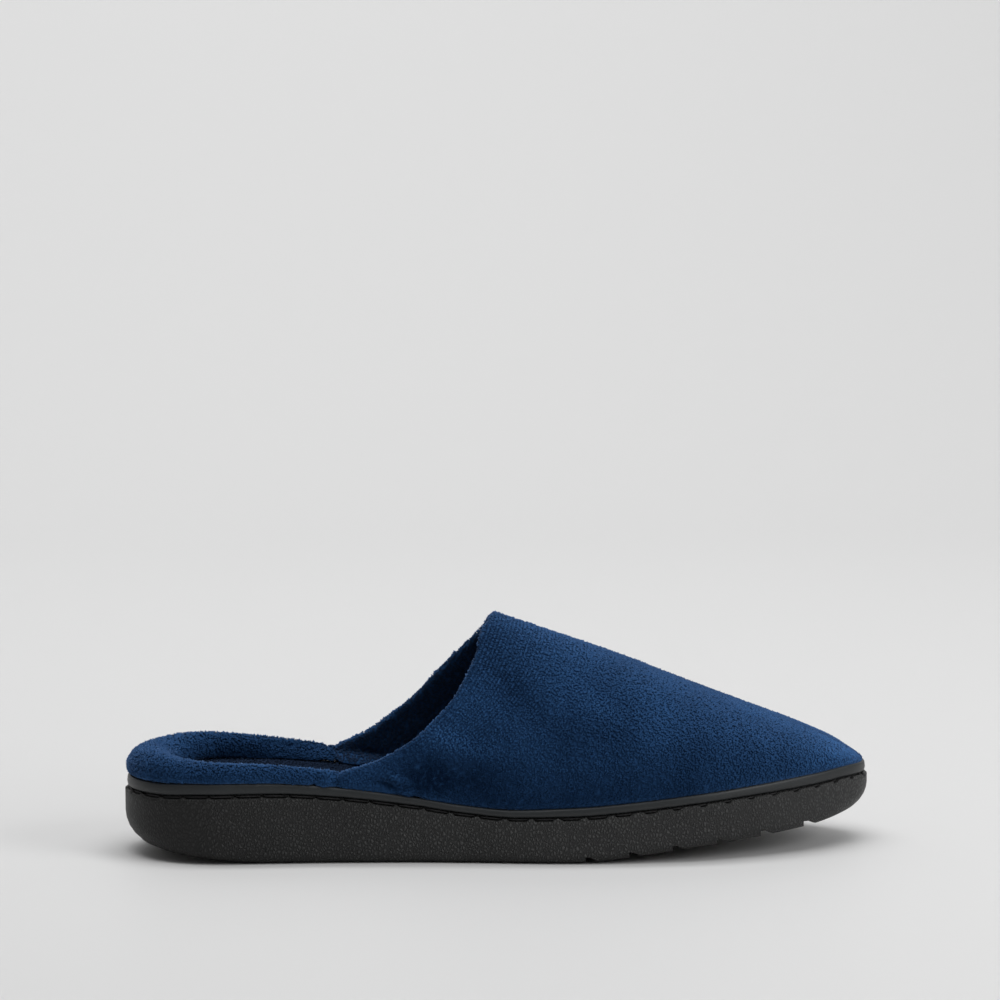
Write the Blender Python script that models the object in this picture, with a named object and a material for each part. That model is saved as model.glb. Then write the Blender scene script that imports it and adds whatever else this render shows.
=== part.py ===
"""A low-backed velour house slipper for the right foot, size 39.

Five pieces that a maker puts together: a moulded outsole with a stitch ledge
and a grooved tread, a smooth welt band, a padded insole, a one-piece vamp and
a padded heel collar. Sizes are in millimetres along the shoe: the station runs
from the back of the heel to the tip of the toe.
"""

import math

import bmesh
import bpy
import numpy as np
from mathutils import Vector

MM = 0.001

# Driving dimensions
LENGTH = 265.0
HEEL_CAP = 35.0
TOE_CAP = 78.0
GAP = 0.3

# Side of the outsole
STITCH_GROOVE = 1.2
GROOVE_DEPTH = 2.3
SHOULDER = 0.7
SIDE_EDGE = 3.2
HEEL_EDGE = 9.0
TOE_EDGE = 6.6
END_SPAN = 26.0

# Welt band and insole
BAND_INSET = 0.9
BAND_WIDTH = 6.0
BAND_EDGE = 0.8
INSOLE_INSET = 7.4
INSOLE_DROP = 0.5
INSOLE_EDGE = 1.2
INSOLE_DISH = 1.2
DISH_INSET = 17.0

# Vamp wall: terry outside and inside with a thin foam between
SKIN_INSET = 0.9
TIP_INSET = 1.9
WALL = 3.2
ROOF_WALL = 3.4
TOE_WALL = 5.4
TUCK_ANGLE = math.radians(-12)
RIDGE_LEAN = 0.05
LIP_ROUNDNESS = 0.85

# Side seams, where the vamp meets the heel collar
LATERAL_SEAM = 73.0
MEDIAL_SEAM = 75.0

# Tread: forefoot bars that reach the edge, and short bars under the heel
BAR_PITCH = 15.2
FIRST_BAR = 156.0
BAR_COUNT = 6
BAR_DEPTH = 2.2
BAR_FLOOR = 1.6
BAR_RAMP = 3.6
BAR_BOW = 7.8
BAR_REACH = 56.0
HEEL_BARS = (30.0, 44.0, 58.0)
HEEL_BAR_DEPTH = 1.6
HEEL_BAR_REACH = 21.0
HEEL_BAR_BOW = 2.9
CUTTER_DROP = 4.0

# Fineness of the meshes
STATIONS = 44
CUTTER_STEPS = 12
VAMP_LINES = 25
VAMP_HEM_LINES = 3
VAMP_ROWS = 24
COLLAR_SIDES = 12
COLLAR_STEPS = 15
COLLAR_TUCK = math.radians(18)
EDGE_TURNS = (0, 25, 50, 75)

SOLE_COLUMNS = ("station", "centre", "half_width", "bottom", "ledge", "band")
SOLE_ROWS = (
    (0.0, 0.0, 33.0, 5.4, 21.8, 3.9),
    (10.0, 0.0, 33.0, 3.8, 21.9, 3.9),
    (26.0, 0.0, 33.0, 1.8, 22.8, 3.8),
    (50.0, -0.3, 32.6, 0.0, 23.0, 3.6),
    (73.0, -1.0, 32.2, 0.0, 21.7, 3.2),
    (98.0, -2.4, 32.4, 0.0, 18.9, 2.7),
    (116.0, -2.9, 34.0, 0.0, 16.2, 2.5),
    (134.0, -2.8, 37.0, 0.0, 14.6, 2.5),
    (155.0, -1.0, 41.4, 0.0, 15.0, 2.9),
    (177.0, 1.6, 44.6, 2.0, 16.7, 3.0),
    (198.0, 3.6, 45.2, 4.6, 18.7, 3.1),
    (220.0, 5.0, 43.6, 6.7, 20.5, 3.4),
    (242.0, 5.6, 41.0, 9.0, 21.9, 3.9),
    (256.0, 5.6, 39.0, 11.4, 22.9, 3.9),
    (265.0, 5.6, 38.0, 13.6, 22.5, 3.8),
)

UPPER_COLUMNS = ("station", "ridge", "fullness")
UPPER_ROWS = (
    (60.0, 96.0, 1.85),
    (100.0, 91.0, 1.85),
    (130.0, 82.9, 1.85),
    (155.0, 74.0, 1.92),
    (177.0, 65.7, 2.0),
    (199.0, 56.5, 2.05),
    (220.0, 48.2, 2.1),
    (242.0, 40.1, 2.1),
    (252.0, 35.5, 2.1),
    (258.0, 31.4, 2.1),
    (265.0, 28.0, 2.1),
)

TOPLINE_COLUMNS = ("station", "lateral", "medial")
TOPLINE_ROWS = (
    (73.0, 33.0, 31.2),
    (79.0, 34.6, 32.6),
    (88.0, 37.4, 37.2),
    (94.0, 39.6, 40.6),
    (100.0, 42.4, 45.4),
    (106.0, 47.2, 50.8),
    (113.0, 55.0, 59.4),
    (119.0, 63.7, 65.9),
    (123.0, 71.6, 70.2),
    (126.0, 77.6, 74.6),
    (130.0, 82.7, 82.7),
)

COLLAR_COLUMNS = ("share", "lateral_rise", "medial_rise", "width")
COLLAR_ROWS = (
    (0.0, 9.2, 9.2, 15.4),
    (0.2, 8.4, 9.0, 12.6),
    (0.4, 7.8, 8.4, 9.2),
    (0.7, 6.9, 6.2, 6.2),
    (1.0, 6.2, 4.8, 4.0),
)


def columns_of(names, rows):
    return dict(zip(names, (np.array(column) for column in zip(*rows))))


def smooth_through(stations, values):
    """A curve through the rows that doesn't overshoot between them."""
    steps = np.diff(stations)
    slopes = np.diff(values) / steps
    tangents = np.zeros(len(values))
    tangents[0], tangents[-1] = slopes[0], slopes[-1]
    for k in range(1, len(values) - 1):
        before, after = slopes[k - 1], slopes[k]
        if before * after > 0:
            near, far = 2 * steps[k] + steps[k - 1], steps[k] + 2 * steps[k - 1]
            tangents[k] = (near + far) / (near / before + far / after)

    def curve(at):
        at = min(max(at, stations[0]), stations[-1])
        k = min(int(np.searchsorted(stations, at, side="right")) - 1, len(steps) - 1)
        t = (at - stations[k]) / steps[k]
        rise = values[k] * (1 + 2 * t) * (1 - t) ** 2 + values[k + 1] * t * t * (3 - 2 * t)
        return rise + steps[k] * t * (1 - t) * (tangents[k] * (1 - t) - tangents[k + 1] * t)

    return curve


def curves_of(names, rows):
    table = columns_of(names, rows)
    return {name: smooth_through(table[names[0]], table[name]) for name in names[1:]}


SOLE = curves_of(SOLE_COLUMNS, SOLE_ROWS)
UPPER = curves_of(UPPER_COLUMNS, UPPER_ROWS)
TOPLINE = curves_of(TOPLINE_COLUMNS, TOPLINE_ROWS)
COLLAR = curves_of(COLLAR_COLUMNS, COLLAR_ROWS)


def welt_bottom(station):
    return SOLE["ledge"](station) + STITCH_GROOVE + GAP


def welt_top(station):
    return welt_bottom(station) + SOLE["band"](station)


def cap_share(station, end_inset=0.0):
    """How much of its half width an outline keeps at its round ends."""
    if station < HEEL_CAP:
        past = (HEEL_CAP - station) / (HEEL_CAP - end_inset)
    elif station > LENGTH - TOE_CAP:
        past = (station - LENGTH + TOE_CAP) / (TOE_CAP - end_inset)
    else:
        past = 0.0
    return math.sqrt(max(0.0, 1 - past * past))


def side_of_outline(station, sign):
    return SOLE["centre"](station) + sign * SOLE["half_width"](station) * cap_share(station)


def outline():
    """The outsole's plan: (station, y, outward normal), round the shoe from the
    heel, along the lateral side (-Y), over the toe and back along the medial side."""
    stations = [LENGTH * (1 - math.cos(math.pi * k / STATIONS)) / 2 for k in range(STATIONS + 1)]
    lateral = [(s, side_of_outline(s, -1)) for s in stations]
    medial = [(s, side_of_outline(s, 1)) for s in stations[-2:0:-1]]
    points = [Vector((s, y)) for s, y in lateral + medial]
    normals = []
    for k, here in enumerate(points):
        back = (here - points[k - 1]).normalized()
        ahead = (points[(k + 1) % len(points)] - here).normalized()
        along = (back + ahead).normalized()
        normals.append(Vector((along.y, -along.x)))
    return points, normals


OUTLINE, NORMALS = outline()
CENTRE_Y = (max(p.y for p in OUTLINE) + min(p.y for p in OUTLINE)) / 2


def placed(station, y, z):
    """From the shoe's sizes in millimetres to the part's frame in metres."""
    return Vector(((station - LENGTH / 2) * MM, (y - CENTRE_Y) * MM, z * MM))


def ring(inset, height):
    """The outline moved in by a distance, at a height, both worked out per station."""
    made = []
    for point, normal in zip(OUTLINE, NORMALS):
        moved = point - normal * inset(point.x)
        made.append(placed(moved.x, moved.y, height(moved.x)))
    return made


def bottom_edge(station):
    """Radius of the outsole's lower edge, larger at the very heel and toe."""
    near, radius = (station, HEEL_EDGE) if station < LENGTH / 2 else (LENGTH - station, TOE_EDGE)
    return SIDE_EDGE + (radius - SIDE_EDGE) * max(0.0, 1 - near / END_SPAN) ** 2


def material(name, colour, roughness):
    made = bpy.data.materials.new(name)
    made.use_nodes = True
    shader = made.node_tree.nodes["Principled BSDF"]
    shader.inputs["Base Color"].default_value = (*colour, 1.0)
    shader.inputs["Roughness"].default_value = roughness
    shader.inputs["Metallic"].default_value = 0.0
    return made


def add_object(name, mesh_builder, collection, finish):
    mesh = bpy.data.meshes.new(name)
    bmesh.ops.recalc_face_normals(mesh_builder, faces=mesh_builder.faces)
    if mesh_builder.calc_volume(signed=True) < 0:
        bmesh.ops.reverse_faces(mesh_builder, faces=mesh_builder.faces)
    mesh_builder.to_mesh(mesh)
    mesh_builder.free()
    made = bpy.data.objects.new(name, mesh)
    collection.objects.link(made)
    if finish:
        mesh.materials.append(finish)
        mesh.shade_smooth()
        mesh.set_sharp_from_angle(angle=math.radians(40))
    return made


def bridge_rings(builder, lower, upper):
    count = len(lower)
    for k in range(count):
        after = (k + 1) % count
        builder.faces.new((lower[k], lower[after], upper[after], upper[k]))


def ladder_cap(builder, verts):
    """Closes a ring across the shoe, rung by rung from heel to toe."""
    count = len(verts)
    for k in range(STATIONS):
        rung = [verts[k], verts[k + 1], verts[(count - k - 1) % count], verts[(count - k) % count]]
        builder.faces.new(list(dict.fromkeys(rung)))


def stacked_solid(name, levels, collection, finish):
    """A solid from rings of the outline, the lowest first."""
    builder = bmesh.new()
    rings = [[builder.verts.new(point) for point in level] for level in levels]
    for lower, upper in zip(rings, rings[1:]):
        bridge_rings(builder, lower, upper)
    ladder_cap(builder, rings[0])
    ladder_cap(builder, rings[-1])
    return add_object(name, builder, collection, finish)


def outsole(collection, finish):
    """Tread, rounded lower edge, side wall, stitch ledge and the top under the band."""
    ledge = SOLE["ledge"]

    def rounding(turn):
        """A ring on the lower edge: turn 0 is the tread, 90 degrees the wall."""
        return ring(
            lambda s: bottom_edge(s) * (1 - math.sin(turn)),
            lambda s: SOLE["bottom"](s) + bottom_edge(s) * (1 - math.cos(turn)),
        )

    def wall(share):
        """A ring on the wall: share 0 is over the lower edge, 1 under the shoulder."""
        return ring(
            lambda s: 0.0,
            lambda s: (SOLE["bottom"](s) + bottom_edge(s)) * (1 - share) + (ledge(s) - SHOULDER) * share,
        )

    levels = [rounding(math.radians(turn)) for turn in EDGE_TURNS]
    levels += [wall(share) for share in (0.0, 0.5, 1.0)]
    levels += [
        ring(lambda s: SHOULDER, ledge),
        ring(lambda s: GROOVE_DEPTH, ledge),
        ring(lambda s: GROOVE_DEPTH, lambda s: ledge(s) + STITCH_GROOVE),
    ]
    return stacked_solid("outsole", levels, collection, finish)


def tread_cutter(name, station, depth, reach, bow, collection):
    """A bowed groove across the sole: upright on its heel side, a ramp ahead."""
    builder = bmesh.new()
    section = (
        (0.0, -CUTTER_DROP),
        (0.0, depth),
        (BAR_FLOOR, depth),
        (BAR_FLOOR + BAR_RAMP, 0.0),
        (BAR_FLOOR + BAR_RAMP, -CUTTER_DROP),
    )
    rows = []
    for k in range(CUTTER_STEPS + 1):
        share = 2 * k / CUTTER_STEPS - 1
        bowed = station + bow * (1 - share * share)
        y = CENTRE_Y + reach * share
        bottom = SOLE["bottom"](bowed + BAR_FLOOR)
        rows.append([builder.verts.new(placed(bowed + x, y, bottom + z)) for x, z in section])
    for near, far in zip(rows, rows[1:]):
        bridge_rings(builder, near, far)
    builder.faces.new(rows[0])
    builder.faces.new(rows[-1])
    cutter = add_object(name, builder, collection, None)
    cutter.hide_render = True
    cutter.display_type = "WIRE"
    return cutter


def cut(target, cutter):
    groove = target.modifiers.new(cutter.name, "BOOLEAN")
    groove.operation = "DIFFERENCE"
    groove.object = cutter
    groove.solver = "EXACT"


def welt(collection, finish):
    """A ring of band: closed section swept round the outline."""
    inner = BAND_INSET + BAND_WIDTH
    section = (
        (BAND_INSET + BAND_EDGE * 0.5, 0.0),
        (BAND_INSET, 0.25),
        (BAND_INSET, 0.75),
        (BAND_INSET + BAND_EDGE, 1.0),
        (inner, 1.0),
        (inner, 0.0),
    )
    builder = bmesh.new()
    loops = []
    for inset, share in section:
        level = ring(lambda s: inset, lambda s: welt_bottom(s) + SOLE["band"](s) * share)
        loops.append([builder.verts.new(point) for point in level])
    for k, loop in enumerate(loops):
        bridge_rings(builder, loop, loops[(k + 1) % len(loops)])
    return add_object("welt", builder, collection, finish)


def insole(collection, finish):
    def top(s):
        return welt_top(s) - INSOLE_DROP

    levels = [
        ring(lambda s: INSOLE_INSET, welt_bottom),
        ring(lambda s: INSOLE_INSET, lambda s: top(s) - INSOLE_EDGE),
        ring(lambda s: INSOLE_INSET + INSOLE_EDGE, top),
        ring(lambda s: DISH_INSET, lambda s: top(s) - INSOLE_DISH),
    ]
    return stacked_solid("insole", levels, collection, finish)


def upper_point(station, angle, depth):
    """A point of the upper on the last. Angle 0 is the lateral wall, 90 degrees
    the ridge and 180 the medial wall. Depth 0 is the outer skin, 1 the lining."""
    half = SOLE["half_width"](station) - SKIN_INSET - depth * WALL
    half *= cap_share(station, end_inset=TIP_INSET + depth * TOE_WALL)
    base = welt_top(station) + GAP
    rise = max(0.0, UPPER["ridge"](station) - base - depth * ROOF_WALL)
    power = 2 / UPPER["fullness"](station)
    across = -math.copysign(abs(math.cos(angle)) ** power, math.cos(angle))
    tuck = -abs(math.sin(TUCK_ANGLE)) ** power
    sine = math.copysign(abs(math.sin(angle)) ** power, math.sin(angle))
    height = (sine - tuck) / (1 - tuck)
    y = SOLE["centre"](station) + half * across + RIDGE_LEAN * rise * height
    return Vector((station, y, base + rise * height))


def topline_station(angle):
    """Where the opening's edge crosses this line of the last."""
    side = "lateral" if angle < math.pi / 2 else "medial"
    low = LATERAL_SEAM if side == "lateral" else MEDIAL_SEAM
    high = TOPLINE_ROWS[-1][0]
    if upper_point(low, angle, 0).z <= TOPLINE[side](low):
        return low
    for _ in range(40):
        middle = (low + high) / 2
        if upper_point(middle, angle, 0).z > TOPLINE[side](middle):
            low = middle
        else:
            high = middle
    return high


def valley_angle(side, seam):
    """The line of the last that reaches the top of the side seam."""
    low, high = (0.0, math.pi / 2) if side == "lateral" else (math.pi, math.pi / 2)
    for _ in range(40):
        middle = (low + high) / 2
        if upper_point(seam, middle, 0).z < TOPLINE[side](seam):
            low = middle
        else:
            high = middle
    return low


def vamp_angles():
    """Lines over the last, with one through the top of each side seam."""
    lateral = valley_angle("lateral", LATERAL_SEAM)
    medial = valley_angle("medial", MEDIAL_SEAM)
    first = np.linspace(TUCK_ANGLE, lateral, VAMP_HEM_LINES + 1)[:-1]
    middle = np.linspace(lateral, medial, VAMP_LINES)
    last = np.linspace(medial, math.pi - TUCK_ANGLE, VAMP_HEM_LINES + 1)[1:]
    return [*first, *middle, *last], lateral, medial


def vamp(collection, finish):
    """A hollow shell, open at the throat and underneath, with a round lip."""
    angles, lateral, medial = vamp_angles()
    rows = VAMP_ROWS
    starts = [topline_station(angle) for angle in angles]
    skins = []
    for depth in (0, 1):
        tip = LENGTH - TIP_INSET - depth * TOE_WALL
        skins.append([
            [
                upper_point(start + (tip - start) * math.sin(math.pi / 2 * i / rows), angle, depth)
                for angle, start in zip(angles, starts)
            ]
            for i in range(rows)
        ])
    outer, inner = skins
    lips = [[], [], []]
    for j, angle in enumerate(angles):
        before, after = outer[0][max(j - 1, 0)], outer[0][min(j + 1, len(angles) - 1)]
        across = inner[0][j] - outer[0][j]
        away = (after - before).cross(across).normalized()
        if away.dot(outer[1][j] - outer[0][j]) > 0:
            away.negate()
        on_seam = angle <= lateral + 1e-6 or angle >= medial - 1e-6
        bulge = 0.0 if on_seam else across.length / 2 * LIP_ROUNDNESS
        for lip, turn in zip(lips, (math.pi / 4, math.pi / 2, 3 * math.pi / 4)):
            along = across * (1 - math.cos(turn)) / 2
            lip.append(outer[0][j] + along + away * bulge * math.sin(turn))
    builder = bmesh.new()

    def grid(points):
        return [[builder.verts.new(placed(*point)) for point in row] for row in points]

    outer_verts, lip_verts, inner_verts = grid(outer), grid(lips), grid(inner)
    tips = []
    for depth in (0, 1):
        station = LENGTH - TIP_INSET - depth * TOE_WALL
        base = welt_top(station) + GAP
        tips.append(builder.verts.new(placed(station, SOLE["centre"](station), base)))
    strips = inner_verts[::-1] + lip_verts[::-1] + outer_verts
    last = len(angles) - 1
    for row, following in zip(strips, strips[1:]):
        for j in range(last):
            builder.faces.new((row[j], row[j + 1], following[j + 1], following[j]))
    for j in range(last):
        builder.faces.new((outer_verts[-1][j], outer_verts[-1][j + 1], tips[0]))
        builder.faces.new((inner_verts[-1][j], inner_verts[-1][j + 1], tips[1]))
    for j in (0, last):
        lip_edge = [row[j] for row in lip_verts]
        first = [outer_verts[1][j], outer_verts[0][j], *lip_edge, inner_verts[0][j], inner_verts[1][j]]
        builder.faces.new(first)
        for i in range(1, rows - 1):
            builder.faces.new((
                outer_verts[i][j],
                outer_verts[i + 1][j],
                inner_verts[i + 1][j],
                inner_verts[i][j],
            ))
        builder.faces.new((outer_verts[-1][j], tips[0], tips[1], inner_verts[-1][j]))
    return add_object("vamp", builder, collection, finish)


def collar_path():
    """(point, outward normal, rise, width), from the lateral seam round the heel
    to the medial seam."""
    path = []
    for side, seam, rise in ((-1, LATERAL_SEAM, "lateral_rise"), (1, MEDIAL_SEAM, "medial_rise")):
        end = seam - GAP
        turns = [math.pi / 2 * k / COLLAR_STEPS for k in range(COLLAR_STEPS + 1)]
        stations = [end * (1 - math.cos(turn)) for turn in turns]
        side_path = []
        for station in stations:
            ahead = Vector((station + 0.01, side_of_outline(station + 0.01, side)))
            here = Vector((station, side_of_outline(station, side)))
            along = (ahead - here).normalized()
            normal = Vector((along.y, -along.x)) * (1 if side < 0 else -1)
            if station == 0.0:
                normal = Vector((-1, 0))
            if station == end:
                normal = Vector((0, side))
            share = station / end
            side_path.append((here, normal, COLLAR[rise](share), COLLAR["width"](share)))
        path = side_path[::-1] if side < 0 else path + side_path[1:]
    return path


def heel_collar(collection, finish):
    """A padded roll round the heel, from one side seam to the other."""
    builder = bmesh.new()
    start, stop = -COLLAR_TUCK, math.pi + COLLAR_TUCK
    rows = []
    for here, normal, rise, width in collar_path():
        row = []
        for k in range(COLLAR_SIDES + 1):
            angle = start + (stop - start) * k / COLLAR_SIDES
            inset = SKIN_INSET + width / 2 * (1 - math.cos(angle))
            height = (math.sin(angle) - math.sin(start)) / (1 - math.sin(start))
            moved = here - normal * inset
            z = welt_top(moved.x) + GAP + rise * height
            row.append(builder.verts.new(placed(moved.x, moved.y, z)))
        rows.append(row)
    for near, far in zip(rows, rows[1:]):
        bridge_rings(builder, near, far)
    builder.faces.new(rows[0])
    builder.faces.new(rows[-1])
    return add_object("heel_collar", builder, collection, finish)


def clear_scene():
    for old in list(bpy.data.objects):
        bpy.data.objects.remove(old)


def collection_named(name):
    made = bpy.data.collections.new(name)
    bpy.context.scene.collection.children.link(made)
    return made


def main():
    clear_scene()
    shoe = collection_named("scuff_slipper")
    cutters = collection_named("tread_cutters")
    rubber = material("moulded_rubber", (0.028, 0.028, 0.029), 0.62)
    band = material("smooth_band", (0.05, 0.05, 0.05), 0.5)
    velour = material("navy_velour", (0.010, 0.038, 0.125), 0.95)
    lining = material("navy_terry", (0.008, 0.030, 0.095), 0.95)

    sole = outsole(shoe, rubber)
    for k in range(BAR_COUNT):
        station = FIRST_BAR + BAR_PITCH * k
        cut(sole, tread_cutter(f"bar_{k + 1}", station, BAR_DEPTH, BAR_REACH, BAR_BOW, cutters))
    for k, station in enumerate(HEEL_BARS):
        name = f"heel_bar_{k + 1}"
        cut(sole, tread_cutter(name, station, HEEL_BAR_DEPTH, HEEL_BAR_REACH, HEEL_BAR_BOW, cutters))
    welt(shoe, band)
    insole(shoe, lining)
    vamp(shoe, velour)
    heel_collar(shoe, velour)


main()
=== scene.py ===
import math

import bmesh
import bpy
import numpy as np
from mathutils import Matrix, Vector


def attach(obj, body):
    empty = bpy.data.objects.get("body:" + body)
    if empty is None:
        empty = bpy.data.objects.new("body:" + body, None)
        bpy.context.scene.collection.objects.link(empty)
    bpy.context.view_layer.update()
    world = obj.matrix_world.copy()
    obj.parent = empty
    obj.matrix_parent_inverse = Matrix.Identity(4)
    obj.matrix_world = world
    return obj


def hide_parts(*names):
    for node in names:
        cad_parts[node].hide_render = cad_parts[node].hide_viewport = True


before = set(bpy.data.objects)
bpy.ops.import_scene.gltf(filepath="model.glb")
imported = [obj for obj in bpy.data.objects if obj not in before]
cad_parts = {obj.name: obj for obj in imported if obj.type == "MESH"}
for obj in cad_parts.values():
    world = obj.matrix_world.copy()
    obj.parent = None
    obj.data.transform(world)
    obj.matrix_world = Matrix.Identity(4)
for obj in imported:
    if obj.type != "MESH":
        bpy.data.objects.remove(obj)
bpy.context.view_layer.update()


# Outsole. One unit of blown rubber from a mould, with a pebbled side wall, a rounded
# lower edge and a ledge on top. Bars cross the forefoot out to its edge, and three
# short ones lie under the heel. All the other pieces are built up on it.

MM = 0.001
SHOE_LENGTH = 265.0
HEEL_CAP = 35.0
TOE_CAP = 78.0
SIDE_STEPS = 420

SHOULDER = 0.7
STITCH_CHANNEL = 1.2
CHANNEL_DEPTH = 2.3
STITCH_PITCH = 9.3
LIP_WIDTH = 1.4
LIP_RAMP = 0.7
LIP_SLANT = 1.8
LIP_STATIONS = (0.0, 12.0, 28.0, 60.0, 115.0, 165.0, 195.0, 265.0)
OPEN_LENGTHS = (6.0, 7.6, 8.3, 8.3, 7.8, 6.6, 2.7, 2.5)
LIP_BASES = (0.4, 0.3, 0.2, 0.2, 0.2, 0.2, 0.28, 0.28)
LIP_LIFTS = (0.9, 0.75, 0.8, 0.95, 1.15, 1.15, 1.1, 1.05)
SIDE_EDGE = 3.2
HEEL_EDGE = 9.0
TOE_EDGE = 6.6
END_SPAN = 26.0
TREAD_RINGS = (0.0, 0.3, 0.6, 0.85)
EDGE_TURNS = (0, 15, 30, 45, 60, 75)
WALL_RINGS = (0.0, 0.25, 0.5, 0.75, 0.92)
SHOULDER_TURNS = (0, 30, 60, 90)
LIP_BACK_SHARE = 0.9
LIP_DRAFT = 0.3
OUTSOLE_CREASE = 38
MERGE_WITHIN = 0.00001

FIRST_BAR = 156.0
BAR_PITCH = 15.2
BAR_COUNT = 6
BAR_CUT = {"depth": 2.2, "bow": 7.8, "reach": 56.0}
HEEL_BARS = (30.0, 44.0, 58.0)
HEEL_BAR_CUT = {"depth": 1.6, "bow": 2.9, "reach": 21.0}
BAR_FLOOR = 1.6
BAR_RAMP = 3.6
CUTTER_DROP = 4.0
CUTTER_STEPS = 24

SOLE_COLUMNS = ("station", "centre", "half_width", "bottom", "ledge", "band")
SOLE_ROWS = (
    (0.0, 0.0, 33.0, 5.4, 21.8, 3.9),
    (10.0, 0.0, 33.0, 3.8, 21.9, 3.9),
    (26.0, 0.0, 33.0, 1.8, 22.8, 3.8),
    (50.0, -0.3, 32.6, 0.0, 23.0, 3.6),
    (73.0, -1.0, 32.2, 0.0, 21.7, 3.2),
    (98.0, -2.4, 32.4, 0.0, 18.9, 2.7),
    (116.0, -2.9, 34.0, 0.0, 16.2, 2.5),
    (134.0, -2.8, 37.0, 0.0, 14.6, 2.5),
    (155.0, -1.0, 41.4, 0.0, 15.0, 2.9),
    (177.0, 1.6, 44.6, 2.0, 16.7, 3.0),
    (198.0, 3.6, 45.2, 4.6, 18.7, 3.1),
    (220.0, 5.0, 43.6, 6.7, 20.5, 3.4),
    (242.0, 5.6, 41.0, 9.0, 21.9, 3.9),
    (256.0, 5.6, 39.0, 11.4, 22.9, 3.9),
    (265.0, 5.6, 38.0, 13.6, 22.5, 3.8),
)


def smooth_through(stations, values):
    """A curve through the rows that doesn't overshoot between them."""
    steps = np.diff(stations)
    slopes = np.diff(values) / steps
    tangents = np.zeros(len(values))
    tangents[0], tangents[-1] = slopes[0], slopes[-1]
    for k in range(1, len(values) - 1):
        before, after = slopes[k - 1], slopes[k]
        if before * after > 0:
            near, far = 2 * steps[k] + steps[k - 1], steps[k] + 2 * steps[k - 1]
            tangents[k] = (near + far) / (near / before + far / after)

    def curve(at):
        at = min(max(at, stations[0]), stations[-1])
        k = min(int(np.searchsorted(stations, at, side="right")) - 1, len(steps) - 1)
        t = (at - stations[k]) / steps[k]
        rise = values[k] * (1 + 2 * t) * (1 - t) ** 2 + values[k + 1] * t * t * (3 - 2 * t)
        return rise + steps[k] * t * (1 - t) * (tangents[k] * (1 - t) - tangents[k + 1] * t)

    return curve


sole_table = dict(zip(SOLE_COLUMNS, (np.array(column) for column in zip(*SOLE_ROWS))))
sole = {name: smooth_through(sole_table["station"], sole_table[name]) for name in SOLE_COLUMNS[1:]}


def side_of_outline(station, sign):
    """The sole's edge across the shoe, with round ends at the heel and the toe."""
    if station < HEEL_CAP:
        past = (HEEL_CAP - station) / HEEL_CAP
    else:
        past = max(0.0, station - SHOE_LENGTH + TOE_CAP) / TOE_CAP
    return sole["centre"](station) + sign * sole["half_width"](station) * math.sqrt(max(0.0, 1 - past * past))


def sole_outline():
    """Points and outward normals round the sole from the heel, lateral side first."""
    stations = [SHOE_LENGTH * (1 - math.cos(math.pi * k / SIDE_STEPS)) / 2 for k in range(SIDE_STEPS + 1)]
    points = [Vector((s, side_of_outline(s, -1))) for s in stations]
    points += [Vector((s, side_of_outline(s, 1))) for s in stations[-2:0:-1]]
    normals = []
    for k, here in enumerate(points):
        back = (here - points[k - 1]).normalized()
        ahead = (points[(k + 1) % len(points)] - here).normalized()
        along = (back + ahead).normalized()
        normals.append(Vector((along.y, -along.x)))
    return points, normals


outline_points, outline_normals = sole_outline()
CENTRE_Y = (max(p.y for p in outline_points) + min(p.y for p in outline_points)) / 2


def placed(station, y, z):
    """From the shoe's sizes in millimetres to the scene in metres."""
    return Vector(((station - SHOE_LENGTH / 2) * MM, (y - CENTRE_Y) * MM, z * MM))


def level(height, inset=lambda s: 0.0, share=1.0):
    """A ring of the outline, moved in by the inset, at a height that follows the
    station. A share below 1 draws it in towards the shoe's middle line."""
    ring = []
    for point, normal in zip(outline_points, outline_normals):
        edge = point - normal * inset(point.x)
        middle = min(max(edge.x, HEEL_CAP), SHOE_LENGTH - TOE_CAP)
        here = Vector((middle, sole["centre"](middle))).lerp(edge, share)
        ring.append(placed(here.x, here.y, height(here.x)))
    return ring


def only(*objects):
    """Selects these objects alone, the first of them active."""
    bpy.ops.object.select_all(action="DESELECT")
    for each in objects:
        each.select_set(True)
    bpy.context.view_layer.objects.active = objects[0]


def extruded_rings(name, levels):
    """A circle laid on the first level and extruded from level to level. Levels that
    fall on one line or on each other are merged, and open ends are filled."""
    bpy.ops.object.select_all(action="DESELECT")
    bpy.ops.mesh.primitive_circle_add(vertices=len(levels[0]), radius=SHOE_LENGTH / 2 * MM)
    made = bpy.context.object
    made.name = made.data.name = name
    bpy.ops.object.mode_set(mode="EDIT")
    cage = bmesh.from_edit_mesh(made.data)
    place = cage.verts.layers.int.new("place")
    for k, vert in enumerate(cage.verts):
        vert[place] = k
        vert.co = levels[0][k]
    for points in levels[1:]:
        bpy.ops.mesh.extrude_edges_move()
        cage = bmesh.from_edit_mesh(made.data)
        place = cage.verts.layers.int["place"]
        for vert in cage.verts:
            if vert.select:
                vert.co = points[vert[place]]
    bmesh.update_edit_mesh(made.data)
    bpy.ops.mesh.select_all(action="SELECT")
    bpy.ops.mesh.remove_doubles(threshold=MERGE_WITHIN)
    bpy.ops.mesh.fill_holes(sides=0)
    bpy.ops.mesh.normals_make_consistent(inside=False)
    bpy.ops.object.mode_set(mode="OBJECT")
    made.data.attributes.remove(made.data.attributes["place"])
    return made


def finish_with(piece, kind, **settings):
    """Adds a modifier to the piece and applies it."""
    only(piece)
    modifier = piece.modifiers.new(kind.lower(), kind)
    for name, value in settings.items():
        setattr(modifier, name, value)
    bpy.ops.object.modifier_apply(modifier=modifier.name)


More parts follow.
